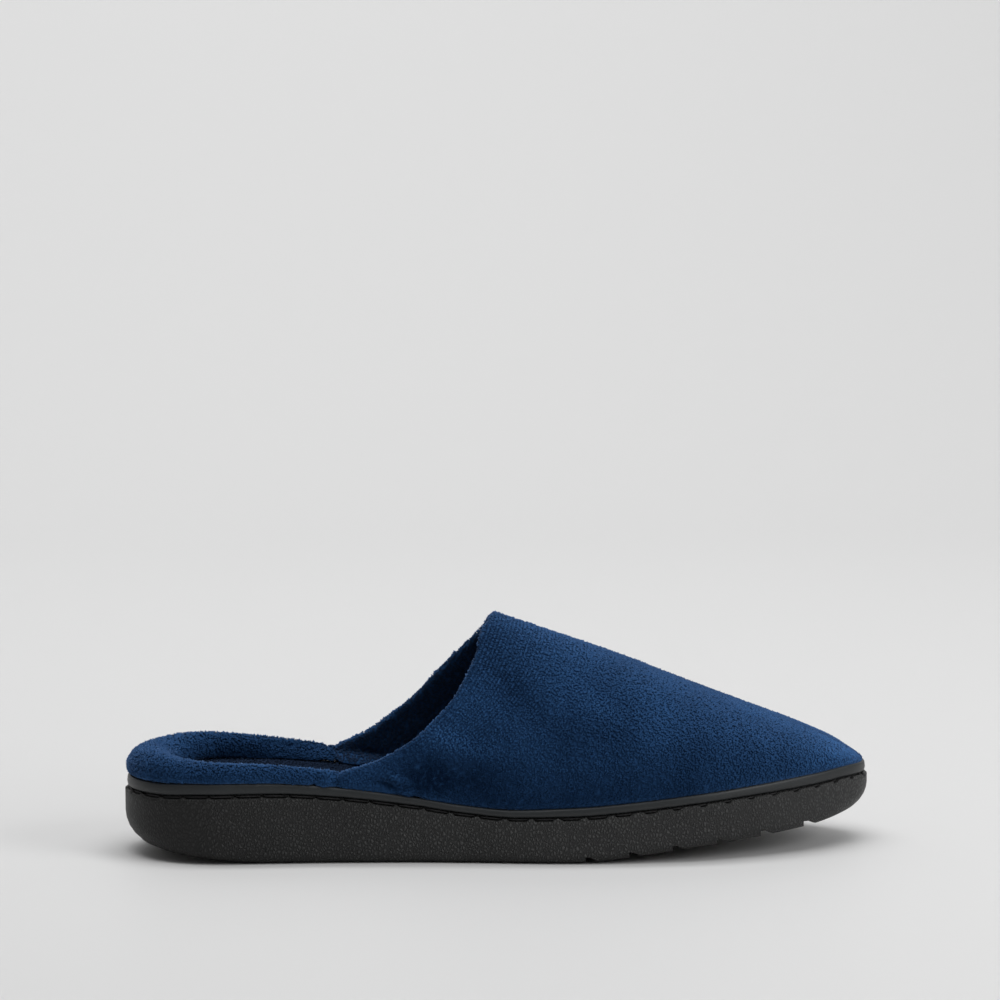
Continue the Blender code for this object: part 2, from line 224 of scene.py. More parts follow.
def bottom_edge(station):
    """Radius of the lower edge, larger at the very heel and toe."""
    near, radius = (station, HEEL_EDGE) if station < SHOE_LENGTH / 2 else (SHOE_LENGTH - station, TOE_EDGE)
    return SIDE_EDGE + (radius - SIDE_EDGE) * max(0.0, 1 - near / END_SPAN) ** 2


def lower_edge(turn):
    """A ring on the rounded lower edge: turn 0 is the tread, 90 degrees the wall."""
    return level(
        lambda s: sole["bottom"](s) + bottom_edge(s) * (1 - math.cos(turn)),
        lambda s: bottom_edge(s) * (1 - math.sin(turn)),
    )


def wall(share):
    """A ring on the side wall, from over the lower edge to under the shoulder."""
    foot = lambda s: sole["bottom"](s) + bottom_edge(s)
    return level(lambda s: foot(s) * (1 - share) + (sole["ledge"](s) - SHOULDER) * share)


def smooth_step(low, high, values):
    share = np.clip((values - low) / (high - low), 0.0, 1.0)
    return share * share * (3 - 2 * share)


def lip_lifts():
    """How far the lip of the wall is drawn up to the band at each outline point: low
    over the open length of each stitch, which ends in a slant, and high between."""
    count = len(outline_points)
    spans = [(outline_points[(k + 1) % count] - outline_points[k]).length for k in range(count)]
    reached = np.concatenate([[0.0], np.cumsum(spans)])
    pitch = reached[-1] / round(reached[-1] / STITCH_PITCH)
    lifts = []
    for at, point in zip(reached, outline_points):
        from_middle = (at / pitch) % 1 * pitch - pitch / 2
        half_open = float(np.interp(point.x, LIP_STATIONS, OPEN_LENGTHS)) / 2
        ramp = LIP_RAMP if from_middle < 0 else LIP_RAMP * LIP_SLANT
        drawn = smooth_step(half_open - ramp / 2, half_open + ramp / 2, abs(from_middle))
        base, high = (float(np.interp(point.x, LIP_STATIONS, row)) for row in (LIP_BASES, LIP_LIFTS))
        lifts.append(base + drawn * (high - base))
    return reached, lifts


def drawn_up(ring, share=1.0):
    return [point + Vector((0, 0, lift * share * MM)) for point, lift in zip(ring, lip_lift)]


def shoulder(turn):
    """A ring on the small round between the wall and the lip of the channel."""
    return drawn_up(level(
        lambda s: sole["ledge"](s) - SHOULDER * (1 - math.sin(turn)),
        lambda s: SHOULDER * (1 - math.cos(turn)),
    ))


def tread_cutter(name, station, depth, bow, reach):
    """A bowed groove across the sole, upright on its heel side with a ramp ahead."""
    front = BAR_FLOOR + BAR_RAMP
    section = ((0.0, -CUTTER_DROP), (0.0, depth), (BAR_FLOOR, depth), (front, 0.0), (front, -CUTTER_DROP))
    slices = []
    for k in range(CUTTER_STEPS + 1):
        across = 2 * k / CUTTER_STEPS - 1
        bowed = station + bow * (1 - across * across)
        bottom = sole["bottom"](bowed + BAR_FLOOR)
        slices.append([placed(bowed + x, CENTRE_Y + reach * across, bottom + z) for x, z in section])
    return extruded_rings(name, slices)


lip_reached, lip_lift = lip_lifts()
lip_back = drawn_up(level(sole["ledge"], lambda s: LIP_WIDTH), LIP_BACK_SHARE)
lip_foot = level(sole["ledge"], lambda s: LIP_WIDTH + LIP_DRAFT)
channel_floor = level(sole["ledge"], lambda s: CHANNEL_DEPTH)
channel_back = level(lambda s: sole["ledge"](s) + STITCH_CHANNEL, lambda s: CHANNEL_DEPTH)
sole_levels = [level(sole["bottom"], share=share) for share in TREAD_RINGS]
sole_levels += [lower_edge(math.radians(turn)) for turn in EDGE_TURNS]
sole_levels += [wall(share) for share in WALL_RINGS]
sole_levels += [shoulder(math.radians(turn)) for turn in SHOULDER_TURNS]
sole_levels += [lip_back, lip_foot, channel_floor, channel_back]
sole_levels += [level(lambda s: sole["ledge"](s) + STITCH_CHANNEL, share=0.0)]
outsole = extruded_rings("outsole_unit", sole_levels)
cutters = [
    tread_cutter(f"bar_{k + 1}", FIRST_BAR + BAR_PITCH * k, **BAR_CUT) for k in range(BAR_COUNT)
]
cutters += [tread_cutter(f"heel_bar_{k + 1}", station, **HEEL_BAR_CUT) for k, station in enumerate(HEEL_BARS)]
for cutter in cutters:
    finish_with(outsole, "BOOLEAN", operation="DIFFERENCE", object=cutter, solver="EXACT")
    bpy.data.objects.remove(cutter)
only(outsole)
bpy.ops.object.shade_smooth_by_angle(angle=math.radians(OUTSOLE_CREASE))


def put(tree, kind, inputs=None, **settings):
    """A node with its settings, its inputs set to values or linked from sockets."""
    made = tree.nodes.new(kind)
    for name, value in settings.items():
        setattr(made, name, value)
    for name, value in (inputs or {}).items():
        if isinstance(value, bpy.types.NodeSocket):
            tree.links.new(value, made.inputs[name])
        else:
            made.inputs[name].default_value = value
    return made


def effect(name, inputs, outputs):
    """An empty shader node group with named float or colour sockets."""
    group = bpy.data.node_groups.new(name, "ShaderNodeTree")
    for label, value in inputs.items():
        kind = "NodeSocketFloat" if isinstance(value, float) else "NodeSocketColor"
        group.interface.new_socket(label, in_out="INPUT", socket_type=kind).default_value = value
    for label, kind in outputs.items():
        group.interface.new_socket(label, in_out="OUTPUT", socket_type=kind)
    return group, group.nodes.new("NodeGroupInput").outputs, group.nodes.new("NodeGroupOutput").inputs


def maths(tree, operation, *values):
    return put(tree, "ShaderNodeMath", dict(enumerate(values)), operation=operation).outputs[0]


def vectors(tree, operation, *values):
    return put(tree, "ShaderNodeVectorMath", dict(enumerate(values)), operation=operation).outputs[0]


def scaled(tree, vector, factor):
    return put(tree, "ShaderNodeVectorMath", {0: vector, "Scale": factor}, operation="SCALE").outputs[0]


def spread(tree, value, low, high, first=0.0, last=1.0):
    """A value between low and high spread from first to last, and held at both ends."""
    return put(
        tree,
        "ShaderNodeMapRange",
        {"Value": value, "From Min": low, "From Max": high, "To Min": first, "To Max": last},
    ).outputs[0]


PEBBLE_STRETCH = (1.0, 1.0, 0.65)
PEBBLE_DOME = 0.42
WAVER_SCALE = 900.0
GRIT_SCALE = 2600.0
GRIT_SHARE = 0.35
CLOUD_SCALE = 55.0
GLOSS_SPREAD = 0.07

# The first two numbers are where a change starts and ends, the last two what it goes from and to.
HEEL_GRAIN = (-0.130, -0.095, 0.25, 1.0)
TOE_GRAIN = (0.085, 0.130, 1.0, 0.35)
# Painted shade: the rubber's colour darkens towards the back of the heel.
HEEL_PAINTED_SHADE = (-0.135, -0.025, 0.25, 1.0)
CLOUD_TONES = (0.3, 0.7, 0.85, 1.15)


def pebble_effect():
    """Moulded leather grain: round pebbles with fine valleys, and their two masks."""
    group, given, made = effect(
        "pebble_grain",
        {"Pebbles Per Metre": 1000.0, "Waver": 0.0004},
        {"Height": "NodeSocketFloat", "Valley": "NodeSocketFloat", "Cloud": "NodeSocketFloat"},
    )
    place = put(group, "ShaderNodeTexCoord").outputs["Object"]
    where = vectors(group, "MULTIPLY", place, PEBBLE_STRETCH)
    waver = put(group, "ShaderNodeTexNoise", {"Vector": where, "Scale": WAVER_SCALE, "Detail": 1.0})
    centred = vectors(group, "SUBTRACT", waver.outputs["Color"], (0.5, 0.5, 0.5))
    bent = vectors(group, "ADD", where, scaled(group, centred, given["Waver"]))
    cells = put(
        group,
        "ShaderNodeTexVoronoi",
        {"Vector": bent, "Scale": given["Pebbles Per Metre"]},
        feature="DISTANCE_TO_EDGE",
    )
    domed = put(
        group,
        "ShaderNodeMapRange",
        {"Value": cells.outputs["Distance"], "From Min": 0.0, "From Max": PEBBLE_DOME},
        interpolation_type="SMOOTHSTEP",
    )
    grit = put(group, "ShaderNodeTexNoise", {"Vector": where, "Scale": GRIT_SCALE, "Detail": 2.0})
    rough_top = maths(group, "MULTIPLY_ADD", grit.outputs["Fac"], GRIT_SHARE, domed.outputs[0])
    cloud = put(group, "ShaderNodeTexNoise", {"Vector": where, "Scale": CLOUD_SCALE, "Detail": 3.0})
    group.links.new(rough_top, made["Height"])
    group.links.new(domed.outputs[0], made["Valley"])
    group.links.new(cloud.outputs["Fac"], made["Cloud"])
    return group


def blank_material(name, **constants):
    """A material with its Principled shader, whose fixed values are set on it."""
    made = bpy.data.materials.new(name)
    made.use_nodes = True
    shader = made.node_tree.nodes["Principled BSDF"]
    for label, value in constants.items():
        shader.inputs[label.replace("_", " ")].default_value = value
    return made, made.node_tree, shader


def mix_colours(tree, factor, first, second, blend="MIX"):
    mixed = put(tree, "ShaderNodeMix", {"Factor": factor}, data_type="RGBA", blend_type=blend)
    for slot, value in ((6, first), (7, second)):
        if isinstance(value, bpy.types.NodeSocket):
            tree.links.new(value, mixed.inputs[slot])
        else:
            mixed.inputs[slot].default_value = value
    return mixed.outputs[2]


def moulded_rubber(name, colour, valley_shade_colour, grain_depth, roughness):
    """Charcoal rubber with a moulded pebble grain that fades at the heel and the toe. Its colour is darker in
    the grain's valleys and towards the heel: painted shade.
    """
    made, tree, shader = blank_material(name, Specular_IOR_Level=0.30)
    grain = put(tree, "ShaderNodeGroup", node_tree=pebbles)
    where = put(tree, "ShaderNodeTexCoord").outputs["Object"]
    along = put(tree, "ShaderNodeSeparateXYZ", {0: where}).outputs["X"]
    fade = maths(tree, "MULTIPLY", spread(tree, along, *HEEL_GRAIN), spread(tree, along, *TOE_GRAIN))
    bump = put(
        tree,
        "ShaderNodeBump",
        {"Strength": fade, "Distance": grain_depth, "Height": grain.outputs["Height"]},
    )
    tree.links.new(bump.outputs[0], shader.inputs["Normal"])
    # Painted shade: the valley colour darkens the narrow valleys of the grain.
    tone = mix_colours(tree, grain.outputs["Valley"], valley_shade_colour, colour)
    clouded = spread(tree, grain.outputs["Cloud"], *CLOUD_TONES)
    # Random clouds of tone, times painted shade that darkens towards the heel.
    depth = maths(tree, "MULTIPLY", clouded, spread(tree, along, *HEEL_PAINTED_SHADE))
    tree.links.new(scaled(tree, tone, depth), shader.inputs["Base Color"])
    low, high = roughness - GLOSS_SPREAD, roughness + GLOSS_SPREAD
    gloss = spread(tree, grain.outputs["Cloud"], 0.0, 1.0, low, high)
    tree.links.new(gloss, shader.inputs["Roughness"])
    return made


pebbles = pebble_effect()
# The second colour is painted shade for the grain's valleys.
rubber = moulded_rubber(
    "pebbled_rubber", (0.046, 0.047, 0.047, 1.0), (0.015, 0.0153, 0.0155, 1.0), 0.00036, 0.52
)
outsole.data.materials.append(rubber)
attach(outsole, "root")
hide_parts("outsole")


# Welt band. A smooth satin strip of denser rubber, laid on the outsole's ledge round
# the whole shoe. It holds the edge of the upper down, and its lower edge is the roof of
# the stitched channel.

WELT_GAP = 0.3
BAND_INSET = 0.9
BAND_WIDTH = 6.0
BAND_ROUND = 0.9
BAND_CROWN = 0.18
BAND_SIDE = ((0.0, 0.5), (0.06, 0.16), (0.16, 0.0), (0.42, -BAND_CROWN))
BAND_TURNS = (0, 22, 45, 68, 90)
BAND_CREASE = 50
BAND_CLOUD_SCALE = 70.0
BAND_SKIN_SCALE = 1500.0
BAND_TOP_HIGHLIGHT = (0.1, 0.8)
BAND_GLOSS = (0.36, 0.56)
BAND_BUMP = {"Strength": 0.25, "Distance": 0.00006}


def welt_bottom(station):
    return sole["ledge"](station) + STITCH_CHANNEL + WELT_GAP


def welt_top(station):
    return welt_bottom(station) + sole["band"](station)


def band_level(share, inset):
    """A ring of the band: share 0 is its lower face and 1 its top."""
    return level(lambda s: welt_bottom(s) + sole["band"](s) * share, lambda s: BAND_INSET + inset)


def band_round(turn):
    """A ring on the band's rounded top edge: turn 0 is its side, 90 degrees its top."""
    return level(
        lambda s: welt_top(s) - BAND_ROUND * (1 - math.sin(turn)),
        lambda s: BAND_INSET + BAND_ROUND * (1 - math.cos(turn)),
    )


band_levels = [band_level(share, inset) for share, inset in BAND_SIDE]
band_levels += [band_round(math.radians(turn)) for turn in BAND_TURNS]
band_levels += [band_level(1.0, BAND_WIDTH), band_level(0.0, BAND_WIDTH), band_levels[0]]
welt = extruded_rings("welt_band", band_levels)
only(welt)
bpy.ops.object.shade_smooth_by_angle(angle=math.radians(BAND_CREASE))


def satin_band(name, colour, highlight_colour):
    """Smooth satin rubber with a faint mould texture, and a paler top edge in patches where it faces up: a
    painted highlight.
    """
    made, tree, shader = blank_material(name, Specular_IOR_Level=0.38)
    where = put(tree, "ShaderNodeTexCoord").outputs["Object"]
    cloud = put(tree, "ShaderNodeTexNoise", {"Vector": where, "Scale": BAND_CLOUD_SCALE, "Detail": 4.0})
    upward = put(tree, "ShaderNodeSeparateXYZ", {0: put(tree, "ShaderNodeNewGeometry").outputs["Normal"]})
    # Painted highlight: paler where the band's face turns up, in cloudy patches.
    patchy_top_highlight = maths(tree, "MULTIPLY", spread(tree, upward.outputs["Z"], *BAND_TOP_HIGHLIGHT), cloud.outputs["Fac"])
    tone = mix_colours(tree, patchy_top_highlight, colour, highlight_colour)
    tree.links.new(tone, shader.inputs["Base Color"])
    gloss = spread(tree, cloud.outputs["Fac"], 0.0, 1.0, *BAND_GLOSS)
    tree.links.new(gloss, shader.inputs["Roughness"])
    skin = put(tree, "ShaderNodeTexNoise", {"Vector": where, "Scale": BAND_SKIN_SCALE, "Detail": 2.0})
    bump = put(tree, "ShaderNodeBump", {**BAND_BUMP, "Height": skin.outputs["Fac"]})
    tree.links.new(bump.outputs[0], shader.inputs["Normal"])
    return made


# The second colour is the painted highlight on the band's top edge.
welt.data.materials.append(satin_band("satin_band", (0.016, 0.0185, 0.020, 1.0), (0.050, 0.054, 0.058, 1.0)))
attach(welt, "root")
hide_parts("welt")


# Channel stitching. A waxed charcoal thread is lock-stitched down through the channel
# under the band. Each stitch lies deep in the channel and dips at its ends, where the
# lip of the ledge is drawn up to the band.

THREAD_WIDTH = 0.85
THREAD_INSET = 1.75
THREAD_SPARE = 0.6
PLY_SCALE = 320.0
THREAD_BUMP = {"Strength": 0.6, "Distance": 0.00015}


def channel_places():
    """The middle of each stitch along the channel: a side point and its normal."""
    number = round(lip_reached[-1] / STITCH_PITCH)
    places = []
    for j in range(number):
        at = lip_reached[-1] * (j + 0.5) / number
        k = int(np.searchsorted(lip_reached, at, side="right")) - 1
        share = (at - lip_reached[k]) / (lip_reached[k + 1] - lip_reached[k])
        after = (k + 1) % len(outline_points)
        point = outline_points[k].lerp(outline_points[after], share)
        places.append((point, outline_normals[k].lerp(outline_normals[after], share).normalized()))
    return places


def one_stitch():
    """A rounded grain of thread along X, a millimetre long, that each stitch copies."""
    bpy.ops.object.select_all(action="DESELECT")
    bpy.ops.mesh.primitive_uv_sphere_add(segments=14, ring_count=10, radius=0.5)
    made = bpy.context.object
    bpy.ops.object.mode_set(mode="EDIT")
    bpy.ops.mesh.select_all(action="SELECT")
    bpy.ops.transform.rotate(value=math.pi / 2, orient_axis="Y", center_override=(0, 0, 0))
    bpy.ops.transform.resize(value=(MM, THREAD_WIDTH * MM, THREAD_WIDTH * MM), center_override=(0, 0, 0))
    bpy.ops.object.mode_set(mode="OBJECT")
    bpy.ops.object.shade_smooth()
    return made


def laid_stitches(stitch):
    """Joined copies of the stitch round the channel, each along its slope."""
    copies = []
    for point, normal in channel_places():
        at = point - normal * THREAD_INSET
        along = Vector((-normal.y, normal.x))
        rise = sole["ledge"](at.x + along.x) - sole["ledge"](at.x - along.x)
        turn = Vector((along.x, along.y, rise / 2)).normalized().to_track_quat("X", "Z").to_matrix()
        length = float(np.interp(at.x, LIP_STATIONS, OPEN_LENGTHS)) + THREAD_SPARE
        middle = placed(at.x, at.y, sole["ledge"](at.x) + (STITCH_CHANNEL + WELT_GAP) / 2)
        copy = stitch.copy()
        copy.data = stitch.data.copy()
        bpy.context.collection.objects.link(copy)
        for vert in copy.data.vertices:
            vert.co = turn @ Vector((vert.co.x * length, vert.co.y, vert.co.z)) + middle
        copies.append(copy)
    only(*copies)
    bpy.ops.object.join()
    made = bpy.context.object
    made.name = made.data.name = "channel_stitches"
    bpy.data.objects.remove(stitch)
    return made


def waxed_thread(name, colour):
    """Twisted thread: slanting plies as bump, with wax in a low sheen."""
    made, tree, shader = blank_material(name, Roughness=0.62, Specular_IOR_Level=0.35)
    shader.inputs["Base Color"].default_value = colour
    where = put(tree, "ShaderNodeTexCoord").outputs["Object"]
    plies = put(
        tree,
        "ShaderNodeTexWave",
        {"Vector": where, "Scale": PLY_SCALE, "Distortion": 0.6},
        bands_direction="DIAGONAL",
    )
    bump = put(tree, "ShaderNodeBump", {**THREAD_BUMP, "Height": plies.outputs["Fac"]})
    tree.links.new(bump.outputs[0], shader.inputs["Normal"])
    return made


threads = laid_stitches(one_stitch())
threads.data.materials.append(waxed_thread("waxed_thread", (0.012, 0.012, 0.013, 1.0)))
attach(threads, "root")


# Insole. A thin foam footbed covered in navy terry, laid in the well that the band
# makes, and pressed into a shallow dish by the foot. Its loops stand up as a short pile.

COVER_LEVELS = 2
CAD_MERGE = 0.000002
QUAD_ANGLE = 60
FOOTBED_EDGE_SWELL = 0.8
# Painted shade: the footbed's pile darkened, deep in the shoe where shade falls.
FOOTBED_PAINTED_SHADE = -0.6
FOOTBED_TUFTS = {"tufts_per_mm2": 2.0, "width": 0.50, "height": 0.8, "lean": (0.15, 0.0, 0.0), "seed": 11}

# Ranges of a normal's upward part: over the footbed's rounded edge, and where its pile starts.
FOOTBED_EDGE = ((0.1, 0.4), (0.9, 1.0))
FOOTBED_PILE = (0.2, 0.6)

# A tuft's form, the clumps it stands in, and the ribs of the knit.
TUFT_WAIST = 0.45
TUFT_ROOT = 0.12
TUFT_WIDTHS = (0.8, 1.25)
TUFT_HEIGHTS = (0.7, 1.25)
TUFT_RUFFLE = 0.4
CLUMPS_PER_METRE = 620.0
CLUMP_EDGES = (0.34, 0.66)
CLUMP_RISE = 0.42
RIB_PITCH = 1.5
RIB_DEPTH = 0.55

# The pile's shares of the raised colour, and how far a tuft is shaded as the cloth is. The tip and rib shares
# are painted shade: a tuft darker at its root than at its tip, and the cloth darker between the ribs of the
# knit than on them.
CLOTH_LIFT = 0.32
TUFT_TINT = 0.13
CLUMP_TINT = 0.65
ROOT_PAINTED_SHADE = 0.06
RIB_PAINTED_SHADE = 0.18
NAP_SOFTNESS = 0.8
PATCH_SCALE = 34.0
ABOUT_ZERO = (0.3, 0.7, -0.5, 0.5)
LOOP_BUMP = {"Strength": 0.4, "Distance": 0.0004}


def merged_copy(node, name):
    """A copy of a CAD node's mesh, its loose triangles merged into quads."""
    made = bpy.data.objects.new(name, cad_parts[node].data.copy())
    made.data.name = name
    made.data.materials.clear()
    bpy.context.collection.objects.link(made)
    only(made)
    bpy.ops.object.mode_set(mode="EDIT")
    bpy.ops.mesh.select_all(action="SELECT")
    bpy.ops.mesh.remove_doubles(threshold=CAD_MERGE)
    flat = math.radians(QUAD_ANGLE)
    bpy.ops.mesh.tris_convert_to_quads(face_threshold=flat, shape_threshold=flat)
    bpy.ops.object.mode_set(mode="OBJECT")
    bpy.ops.object.shade_smooth()
    return made


def as_arrays(piece):
    """The piece's points and normals in millimetres of the shoe: station, y, z."""
    count = len(piece.data.vertices)
    points, normals = np.empty(count * 3), np.empty(count * 3)
    piece.data.vertices.foreach_get("co", points)
    piece.data.vertices.foreach_get("normal", normals)
    points = points.reshape(-1, 3) / MM + (SHOE_LENGTH / 2, CENTRE_Y, 0.0)
    return points, normals.reshape(-1, 3)


def move_points(piece, points):
    """Puts points in millimetres of the shoe back on the piece."""
    moved = (points - (SHOE_LENGTH / 2, CENTRE_Y, 0.0)) * MM
    piece.data.vertices.foreach_set("co", moved.ravel())
    piece.data.update()


def keep_on_points(piece, **layers):
    """Stores a number for each point of the piece, for its pile and its finish."""
    for name, values in layers.items():
        layer = piece.data.attributes.get(name) or piece.data.attributes.new(name, "FLOAT", "POINT")
        full = np.broadcast_to(np.asarray(values, dtype=np.float32), len(piece.data.vertices))
        layer.data.foreach_set("value", np.ascontiguousarray(full))


def tuft_shape():
    """One tuft of unit height on the origin: three-sided, and widest over its middle."""
    bpy.ops.object.select_all(action="DESELECT")
    bpy.ops.mesh.primitive_cone_add(vertices=3, radius1=0.0, radius2=1.0, depth=TUFT_WAIST)
    made = bpy.context.object
    bpy.ops.object.mode_set(mode="EDIT")
    bpy.ops.mesh.select_all(action="SELECT")
    bpy.ops.transform.translate(value=(0, 0, TUFT_WAIST / 2 - TUFT_ROOT))
    bpy.ops.mesh.select_all(action="DESELECT")
    cage = bmesh.from_edit_mesh(made.data)
    for face in cage.faces:
        face.select_set(face.normal.z > 0.9)
    bmesh.update_edit_mesh(made.data)
    bpy.ops.mesh.poke(offset=1.0 - TUFT_WAIST)
    bpy.ops.object.mode_set(mode="OBJECT")
    bpy.ops.object.shade_smooth()
    keep_on_points(made, rise=[vert.co.z for vert in made.data.vertices])
    return made


def grow_pile(name, ground, tufts_per_mm2, width, height, lean, seed):
    """Tufts scattered over the ground where its pile attribute is above 0, real meshes
    in one piece. They stand in clumps, and lower between the ribs of the knit."""
    tree = bpy.data.node_groups.new(name, "GeometryNodeTree")
    tree.interface.new_socket("Geometry", in_out="INPUT", socket_type="NodeSocketGeometry")
    tree.interface.new_socket("Geometry", in_out="OUTPUT", socket_type="NodeSocketGeometry")
    ground_mesh = tree.nodes.new("NodeGroupInput").outputs["Geometry"]

    def chance(low, high, offset, data_type="FLOAT"):
        """A seeded random value for each tuft."""
        picked = put(tree, "FunctionNodeRandomValue", data_type=data_type)
        slots = (0, 1) if data_type == "FLOAT_VECTOR" else (2, 3)
        picked.inputs[slots[0]].default_value = low
        picked.inputs[slots[1]].default_value = high
        picked.inputs["Seed"].default_value = seed + offset
        return picked.outputs[0 if data_type == "FLOAT_VECTOR" else 1]

    def named(label):
        return put(tree, "GeometryNodeInputNamedAttribute", {"Name": label}, data_type="FLOAT").outputs[0]

    def kept(points, label, value, data_type):
        """The points with a value stored on them."""
        return put(
            tree,
            "GeometryNodeStoreNamedAttribute",
            {"Geometry": points, "Name": label, "Value": value},
            data_type=data_type,
            domain="POINT",
        ).outputs[0]

    scatter = put(
        tree,
        "GeometryNodeDistributePointsOnFaces",
        {
            "Mesh": ground_mesh,
            "Density": maths(tree, "MULTIPLY", named("pile"), tufts_per_mm2 / MM**2),
            "Seed": seed,
        },
        distribute_method="RANDOM",
    )
    place = put(tree, "GeometryNodeInputPosition").outputs[0]
    clumps = put(tree, "ShaderNodeTexNoise", {"Vector": place, "Scale": CLUMPS_PER_METRE, "Detail": 1.0})
    clump = spread(tree, clumps.outputs["Fac"], *CLUMP_EDGES)
    tint = maths(tree, "MULTIPLY_ADD", clump, CLUMP_TINT, chance(0.0, 1.0 - CLUMP_TINT, 1))
    tinted = kept(scatter.outputs["Points"], "tint", tint, "FLOAT")
    combed = kept(tinted, "nap", scatter.outputs["Normal"], "FLOAT_VECTOR")
    ruffled = chance((-TUFT_RUFFLE,) * 3, (TUFT_RUFFLE,) * 3, 2, "FLOAT_VECTOR")
    upright = vectors(tree, "ADD", vectors(tree, "ADD", scatter.outputs["Normal"], lean), ruffled)
    aligned = put(tree, "FunctionNodeAlignRotationToVector", {"Vector": upright}, axis="Z")
    angle = chance(0.0, math.tau, 3)
    spin = put(tree, "FunctionNodeAxisAngleToRotation", {"Axis": (0, 0, 1), "Angle": angle})
    turned = put(
        tree,
        "FunctionNodeRotateRotation",
        {"Rotation": aligned.outputs[0], "Rotate By": spin.outputs[0]},
        rotation_space="LOCAL",
    )
    across = chance(*(width * share * MM for share in TUFT_WIDTHS), 4)
    wave = maths(tree, "COSINE", maths(tree, "MULTIPLY", named("from_throat"), math.tau / RIB_PITCH))
    between_ribs = maths(tree, "MULTIPLY", named("ribbing"), maths(tree, "MULTIPLY_ADD", wave, -0.5, 0.5))
    rib_height = maths(tree, "MULTIPLY_ADD", between_ribs, -RIB_DEPTH, 1.0)
    clump_height = maths(tree, "MULTIPLY_ADD", clump, CLUMP_RISE, 1.0 - CLUMP_RISE / 2)
    drawn_height = chance(*(height * share * MM for share in TUFT_HEIGHTS), 5)
    own_height = maths(tree, "MULTIPLY", drawn_height, named("stand"))
    stand = maths(tree, "MULTIPLY", own_height, maths(tree, "MULTIPLY", rib_height, clump_height))
    size = put(tree, "ShaderNodeCombineXYZ", {"X": across, "Y": across, "Z": stand})
    tuft = put(tree, "GeometryNodeObjectInfo", {"Object": pile_tuft})
    planted = put(
        tree,
        "GeometryNodeInstanceOnPoints",
        {
            "Points": combed,
            "Instance": tuft.outputs["Geometry"],
            "Rotation": turned.outputs[0],
            "Scale": size.outputs[0],
        },
    )
    real = put(tree, "GeometryNodeRealizeInstances", {"Geometry": planted.outputs[0]})
    put(tree, "NodeGroupOutput", {"Geometry": real.outputs[0]})

    made = ground.copy()
    made.data = ground.data.copy()
    made.name = name
    bpy.context.collection.objects.link(made)
    finish_with(made, "NODES", node_group=tree)
    made.data.name = name
    made.data.materials.clear()
    bpy.data.node_groups.remove(tree)
    return made


def cloth_effect():
    """Navy pile cloth: the colour between a deep and a raised tone, by the brushed patches of the nap, a fine
    speckle and a lift that carries painted light and shade, and the height of its small loops."""
    group, given, made = effect(
        "pile_cloth",
        {
            "Deep": (0.004, 0.016, 0.045, 1.0),
            "Raised": (0.020, 0.060, 0.150, 1.0),
            "Lift": 0.5,
            "Patches": 0.35,
            "Speckle": 0.35,
            "Loops Per Metre": 950.0,
        },
        {"Color": "NodeSocketColor", "Height": "NodeSocketFloat"},
    )
    where = put(group, "ShaderNodeTexCoord").outputs["Object"]

    def noise(scale, detail):
        """Noise spread evenly about 0."""
        raw = put(group, "ShaderNodeTexNoise", {"Vector": where, "Scale": scale, "Detail": detail})
        return spread(group, raw.outputs["Fac"], *ABOUT_ZERO)

    # The brushed nap patches, on top of the lift with its painted light and shade.
    nap_and_painted_light = maths(group, "MULTIPLY_ADD", noise(PATCH_SCALE, 2.0), given["Patches"], given["Lift"])
    loops = noise(given["Loops Per Metre"], 2.0)
    flecked = maths(group, "MULTIPLY_ADD", loops, given["Speckle"], nap_and_painted_light)
    held = put(group, "ShaderNodeClamp", {"Value": flecked})
    tone = mix_colours(group, held.outputs[0], given["Deep"], given["Raised"])
    group.links.new(tone, made["Color"])
    group.links.new(loops, made["Height"])
    return group


